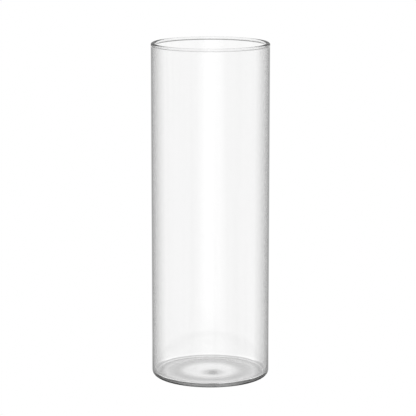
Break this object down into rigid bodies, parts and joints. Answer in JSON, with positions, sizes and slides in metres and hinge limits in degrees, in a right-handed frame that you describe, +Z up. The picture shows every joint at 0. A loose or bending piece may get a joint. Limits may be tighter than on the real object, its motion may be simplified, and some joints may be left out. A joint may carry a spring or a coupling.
{
  "type": "cylinder vase",
  "caption": "Clear glass cylinder vase, straight-sided and open at the top, with a fire-polished lip, a closed pushed-up base and a flat foot ring.",
  "frame": {"origin": "middle of the foot, on the plane the vase stands on", "axes": "+Z up along the vase's axis, towards the open mouth; +X to the right and +Y to the back, the vase being the same all round but for the closing mark on its floor, which is a little to the front"},
  "size_m": [0.089, 0.089, 0.254],
  "materials": {
    "clear_glass": "fire-polished, colourless, smooth inside and out"
  },
  "bodies": {
    "root": {"base": "clear_glass", "side_wall": "clear_glass", "rim": "clear_glass"}
  },
  "joints": []
}
